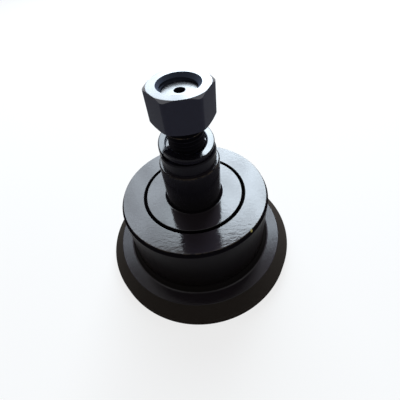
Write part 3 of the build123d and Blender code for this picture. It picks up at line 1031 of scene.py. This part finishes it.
def hexagon_bar(size, corner):
    """A hexagon bar with its upright corners rounded."""
    height = size.top - size.bottom
    deselect_all()
    bpy.ops.mesh.primitive_cylinder_add(
        vertices=6, radius=corner, depth=height, location=(0, 0, size.bottom + height / 2),
        rotation=(0, 0, HALF_SIXTY),
    )
    piece = named(bpy.context.object, "nut_body")
    settle(piece)
    edit(piece)
    bpy.ops.mesh.select_mode(type="EDGE")
    bpy.ops.mesh.select_all(action="DESELECT")
    form = bmesh.from_edit_mesh(piece.data)
    for edge in form.edges:
        low, high = (vertex.co for vertex in edge.verts)
        edge.select_set((low.xy - high.xy).length < MERGE_DISTANCE)
    bmesh.update_edit_mesh(piece.data)
    reach = size.corner_round * tan(HALF_SIXTY)
    bpy.ops.mesh.bevel(offset=reach, segments=CORNER_STEPS, affect="EDGES")
    bpy.ops.mesh.select_mode(type="VERT")
    leave_edit_mode()
    return piece


def trimming_blank(size, corner):
    """The turned form that trims the hexagon's corners."""
    reach = corner + 0.3 * MM
    drop = (reach - size.face_radius) * tan(size.chamfer_angle)
    face_round = 0.9 * MM
    corners = [
        (0.0, size.bottom),
        (size.face_radius, size.bottom, face_round),
        (reach, size.bottom + drop),
        (reach, size.top - drop),
        (size.face_radius, size.top, face_round),
        (0.0, size.top),
    ]
    return turned_piece("nut_trimming_blank", eased(corners))


def bore_cutter(size, mouth):
    """The drilled and countersunk bore."""
    drop = mouth - size.bore_radius
    over = 1.0 * MM
    corners = [
        (0.0, size.bottom - over),
        (mouth + over, size.bottom - over),
        (size.bore_radius, size.bottom + drop),
        (size.bore_radius, size.top - drop),
        (mouth + over, size.top + over),
        (0.0, size.top + over),
    ]
    return turned_piece("nut_bore_cutter", eased(corners), steps=NUT_BORE_STEPS)


def nut_thread_cutter(size, stud):
    """The cutter of the nut's thread, half a turn out of step with the stud's groove."""
    turns_below = 6.5
    start = stud.spigot_top + THREAD_START + turns_below * stud.thread_pitch
    return thread_cutter(
        "nut_thread_cutter", root=size.thread_root_radius, root_half=0.25 * MM,
        crest=size.bore_radius, crest_flat=size.thread_crest, start=start, end=size.top,
        pitch=stud.thread_pitch,
    )


class ROLLER_OT_nut(Operator):
    """Trim a hexagon bar to a chamfered nut, cut its thread and paint it"""

    bl_idname = "roller.nut"
    bl_label = "Axle nut"

    def execute(self, context):
        size = context.scene.roller_nut
        corner = size.across_flats / 2 / cos(HALF_SIXTY)
        mouth = size.thread_root_radius + size.countersink
        piece = hexagon_bar(size, corner)
        combine(piece, trimming_blank(size, corner), "INTERSECT")
        combine(piece, bore_cutter(size, mouth), "DIFFERENCE")
        combine(piece, nut_thread_cutter(size, context.scene.roller_axle), "DIFFERENCE")
        smooth(piece, degrees_limit=30.0)
        colours = context.scene.roller_finishes
        # Painted reflection: the nut's black paint gets a bluish grey colour, and its flanks almost no
        # gloss, in place of the sky they mirror.
        black = partial(enamel, tone=colours.nut_tone_and_reflection, peel_scale=330.0)
        finish_faces(
            piece, black("nut_side_enamel", gloss=0.008, roughness=0.3),
            black("nut_face_enamel", gloss=0.75, roughness=0.10), flatness=0.8,
        )
        # Painted reflection: the shaded bore gets a lighter bluish colour and no gloss.
        bore = black("nut_bore_enamel", gloss=0.0, roughness=0.4, tone=colours.bore_tint_painted_reflection)
        finish_zone(piece, bore, inside=mouth, up_under=0.99)
        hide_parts("axle_nut")
        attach(piece, "nut")
        return {"FINISHED"}


class ROLLER_OT_washer(Operator):
    """Wind the split spring washer and lay it on the spigot"""

    bl_idname = "roller.washer"
    bl_label = "Spring lock washer"

    def execute(self, context):
        size = context.scene.roller_washer
        half = size.thickness / 2
        outer = size.inner_radius + size.band
        corners = [
            (size.inner_radius, -half, size.edge_round),
            (outer, -half, size.edge_round),
            (outer, half, size.edge_round),
            (size.inner_radius, half, size.edge_round),
        ]
        section = eased(corners, closed=True)
        piece = wound_piece(
            "spring_washer_coil", section, -size.wound, size.rise, turns=1, steps=WASHER_STEPS
        )
        piece.matrix_world = (
            Matrix.Rotation(size.high_side, 4, "Z")
            @ Matrix.Rotation(-size.tilt, 4, "Y")
            @ Matrix.Rotation(size.low_end - size.high_side, 4, "Z")
            @ Matrix.Translation((0, 0, -size.rise / 2))
        )
        settle(piece)
        lowest = min(vertex.co.z for vertex in piece.data.vertices)
        piece.location = (*size.aside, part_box("spring_lock_washer")[0].z - lowest)
        settle(piece)
        smooth(piece)
        flatness = 0.9
        finish_faces(
            piece, enamel("washer_side_enamel", gloss=0.08, roughness=0.25),
            enamel("washer_face_enamel", gloss=0.5, roughness=0.12, lean=radians(-12.0)),
            flatness=flatness,
        )
        blue = context.scene.roller_finishes.bore_tint_painted_reflection
        # Painted reflection: the washer's inner wall gets the same lighter bluish colour.
        finish_zone(
            piece, enamel("washer_bore_painted_reflection", gloss=0.4, roughness=0.25, tone=blue),
            inside=size.inner_radius + size.edge_round, up_under=flatness, middle=size.aside,
        )
        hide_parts("spring_lock_washer")
        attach(piece, "axle")
        return {"FINISHED"}


class ROLLER_OT_bearings(Operator):
    """Finish the bearing rings, balls and cages"""

    bl_idname = "roller.bearings"
    bl_label = "Ball bearings"

    def execute(self, context):
        colours = context.scene.roller_finishes
        steel = bare_metal("ground_steel", colours.ground_steel, roughness=0.18)
        brass = bare_metal("cage_brass", colours.cage_brass, roughness=0.3)
        for end in ("upper", "lower"):
            for part in ("outer_race", "inner_race", "balls"):
                dress(f"{end}_bearing_{part}", steel)
            dress(f"{end}_bearing_cage", brass)
        return {"FINISHED"}


class ROLLER_OT_seal(Operator):
    """Finish the oil seal's case, lip and garter spring"""

    bl_idname = "roller.seal"
    bl_label = "Oil seal"

    def execute(self, context):
        colours = context.scene.roller_finishes
        wire = bare_metal("spring_wire", colours.blackened_steel, roughness=0.3)
        dress("seal_case", bare_metal("pressed_steel", colours.turned_steel, roughness=0.38))
        dress("seal_lip", moulded_rubber("seal_rubber", colours.rubber))
        dress("seal_garter_spring", wire)
        return {"FINISHED"}


class ROLLER_OT_spacers(Operator):
    """Finish the spacers, the support washer and the retaining rings"""

    bl_idname = "roller.spacers"
    bl_label = "Spacers and rings"

    def execute(self, context):
        colours = context.scene.roller_finishes
        turned = bare_metal("turned_steel", colours.turned_steel, roughness=0.28)
        blackened = bare_metal("blackened_steel", colours.blackened_steel, roughness=0.35)
        for node in ("inner_spacer_sleeve", "outer_spacer_ring", "axle_shim_washer"):
            dress(node, turned)
        for node in ("axle_circlip", "bearing_circlip", "cap_circlip"):
            dress(node, blackened)
        return {"FINISHED"}


class ROLLER_OT_end_cap(Operator):
    """Finish the end cap, its ring, its plug and the plug's washer"""

    bl_idname = "roller.end_cap"
    bl_label = "End cap"

    def execute(self, context):
        colours = context.scene.roller_finishes
        cap_edge = {
            "edge_radius": 38.6 * MM, "edge_height": 4.2 * MM, "width": 0.8 * MM, "wear": 0.5,
        }
        dress("end_cap", enamel("cap_enamel", gloss=0.4, roughness=0.2, edges=[cap_edge]))
        dress("cap_o_ring", moulded_rubber("ring_rubber", colours.rubber))
        dress("grease_plug", bare_metal("plug_steel", colours.turned_steel, roughness=0.32))
        dress("plug_washer", bare_metal("annealed_copper", colours.copper, roughness=0.35))
        return {"FINISHED"}


def seen_directly(tree):
    """One where the camera or a mirror image sees the surface."""
    path = tree.nodes.new("ShaderNodeLightPath").outputs
    shown = calculate("MAXIMUM", tree, path["Is Camera Ray"], path["Is Glossy Ray"])
    return calculate("MAXIMUM", tree, shown, path["Is Transmission Ray"])


def lay_floor(scene, settings):
    """A plain round floor that keeps the roller's shadow under its own glow."""
    deselect_all()
    bpy.ops.mesh.primitive_circle_add(
        vertices=settings.floor_sides, radius=settings.floor_radius, fill_type="NGON",
        location=(0, 0, 0),
    )
    floor = named(bpy.context.object, "studio_floor")
    finish, tree, shader, position = new_finish("pale_floor")
    pale = scene.roller_finishes.floor
    dimmer = [channel * 0.98 for channel in pale]
    mottle = noise(tree, position, scale=3.0)
    feed(shader["Base Color"], mixed(tree, mottle, dimmer, pale))
    shader["Roughness"].default_value = 0.9
    shader["Specular IOR Level"].default_value = 0.1
    glow_share = 0.8
    glow = tree.nodes.new("ShaderNodeEmission")
    blend = tree.nodes.new("ShaderNodeMixShader")
    feed(blend.inputs[0], times(tree, seen_directly(tree), glow_share))
    feed(blend.inputs[1], node_of(tree, "BSDF_PRINCIPLED").outputs[0])
    feed(blend.inputs[2], glow.outputs[0])
    feed(node_of(tree, "OUTPUT_MATERIAL").inputs[0], blend.outputs[0])
    floor.data.materials.append(finish)


def hang_softbox(settings):
    """One big soft lamp behind and above, which the level faces mirror."""
    aside, raised = settings.softbox_aside, settings.softbox_up
    towards = Vector((sin(aside) * cos(raised), cos(aside) * cos(raised), sin(raised)))
    aim = Vector((0, 0, 80.0 * MM))
    deselect_all()
    bpy.ops.object.light_add(type="AREA", location=aim + towards * settings.softbox_distance)
    lamp = bpy.context.object
    lamp.name = "softbox"
    lamp.rotation_mode = "QUATERNION"
    lamp.rotation_quaternion = towards.to_track_quat("Z", "Y")
    light = lamp.data
    light.shape = "RECTANGLE"
    light.size = settings.softbox_width
    light.size_y = settings.softbox_height
    light.energy = settings.softbox_energy
    light.color = settings.softbox_colour
    light.use_nodes = True
    tree = light.node_tree
    spread = tree.nodes.new("ShaderNodeNewGeometry").outputs["Parametric"]
    across, up, _ = split(tree, spread)
    sideways = vary(tree, across, 0.25, 0.75, 1.0, settings.softbox_left)
    upwards = vary(tree, up, 0.85, 1.0, 1.0, settings.softbox_top)
    mottle = vary(tree, noise(tree, spread, scale=10.0), 0.3, 0.7, 0.75, 1.25)
    strength = times(tree, times(tree, sideways, upwards), mottle)
    feed(node_of(tree, "EMISSION").inputs["Strength"], strength)


def light_world(scene, settings):
    """Plain light from all round, with white where it is seen directly."""
    world = bpy.data.worlds.new("plain_room")
    scene.world = world
    world.use_nodes = True
    tree = world.node_tree
    tree.nodes.clear()
    output = tree.nodes.new("ShaderNodeOutputWorld")
    room = tree.nodes.new("ShaderNodeBackground")
    room.inputs["Color"].default_value = (1.0, 1.0, 1.0, 1.0)
    level = vary(tree, seen_directly(tree), 0.0, 1.0, settings.fill_level, 1.0)
    feed(room.inputs["Strength"], level)
    feed(output.inputs[0], room.outputs[0])


def place_camera(scene, settings):
    """The camera at the photograph's angle."""
    pitch, yaw, roll = settings.camera_pitch, settings.camera_yaw, settings.camera_roll
    look = Vector((sin(yaw) * cos(pitch), cos(yaw) * cos(pitch), -sin(pitch)))
    level_right = Vector((cos(yaw), -sin(yaw), 0.0))
    level_down = look.cross(level_right)
    right = level_right * cos(roll) + level_down * sin(roll)
    up = level_right * sin(roll) - level_down * cos(roll)
    deselect_all()
    bpy.ops.object.camera_add(location=(0, -settings.camera_distance, settings.camera_height))
    camera = bpy.context.object
    camera.name = "photo_camera"
    camera.rotation_mode = "QUATERNION"
    camera.rotation_quaternion = Matrix((right, up, -look)).transposed().to_quaternion()
    lens = camera.data
    lens.sensor_width = SENSOR_WIDTH
    lens.lens = settings.focal_pixels / IMAGE_SIZE * SENSOR_WIDTH
    lens.shift_x = (IMAGE_SIZE / 2 - settings.centre_u) / IMAGE_SIZE
    lens.shift_y = (settings.centre_v - IMAGE_SIZE / 2) / IMAGE_SIZE
    lens.clip_start = 1.0 * MM
    lens.dof.use_dof = False
    scene.camera = camera


class ROLLER_OT_studio(Operator):
    """Set the floor, the lamp, the world and the camera"""

    bl_idname = "roller.studio"
    bl_label = "Studio"

    def execute(self, context):
        scene = context.scene
        settings = scene.roller_studio
        scene.view_settings.view_transform = "Standard"
        lay_floor(scene, settings)
        hang_softbox(settings)
        light_world(scene, settings)
        place_camera(scene, settings)
        return {"FINISHED"}


class ROLLER_PT_parts(Panel):
    """Lists what the roller is made of"""

    bl_idname = "ROLLER_PT_parts"
    bl_label = "Track roller"
    bl_space_type = "VIEW_3D"
    bl_region_type = "UI"
    bl_category = "Roller"

    def draw(self, context):
        column = self.layout.column(align=True)
        for operator in OPERATORS:
            column.operator(operator.bl_idname)
        for group in PROPERTY_SLOTS:
            box = self.layout.box()
            settings = getattr(context.scene, group)
            for key in settings.bl_rna.properties.keys():
                if key not in {"rna_type", "name"}:
                    box.prop(settings, key)


OPERATORS = (
    ROLLER_OT_shell,
    ROLLER_OT_axle,
    ROLLER_OT_nut,
    ROLLER_OT_washer,
    ROLLER_OT_bearings,
    ROLLER_OT_seal,
    ROLLER_OT_spacers,
    ROLLER_OT_end_cap,
    ROLLER_OT_studio,
)
PROPERTY_SLOTS = {
    "roller_shell": RollerShellSizes,
    "roller_axle": AxleSizes,
    "roller_nut": NutSizes,
    "roller_washer": WasherSizes,
    "roller_finishes": FinishColours,
    "roller_studio": StudioSettings,
}


def register():
    """Make the settings, operators and panel known."""
    for slot_name, group in PROPERTY_SLOTS.items():
        bpy.utils.register_class(group)
        setattr(bpy.types.Scene, slot_name, PointerProperty(type=group))
    for operator in OPERATORS:
        bpy.utils.register_class(operator)
    bpy.utils.register_class(ROLLER_PT_parts)


def unregister():
    """Take them away again."""
    bpy.utils.unregister_class(ROLLER_PT_parts)
    for operator in reversed(OPERATORS):
        bpy.utils.unregister_class(operator)
    for slot_name, group in PROPERTY_SLOTS.items():
        delattr(bpy.types.Scene, slot_name)
        bpy.utils.unregister_class(group)


def main():
    """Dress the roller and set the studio."""
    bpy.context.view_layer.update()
    register()
    bpy.ops.roller.shell()
    bpy.ops.roller.axle()
    bpy.ops.roller.nut()
    bpy.ops.roller.washer()
    bpy.ops.roller.bearings()
    bpy.ops.roller.seal()
    bpy.ops.roller.spacers()
    bpy.ops.roller.end_cap()
    bpy.ops.roller.studio()


if __name__ == "__main__":
    main()
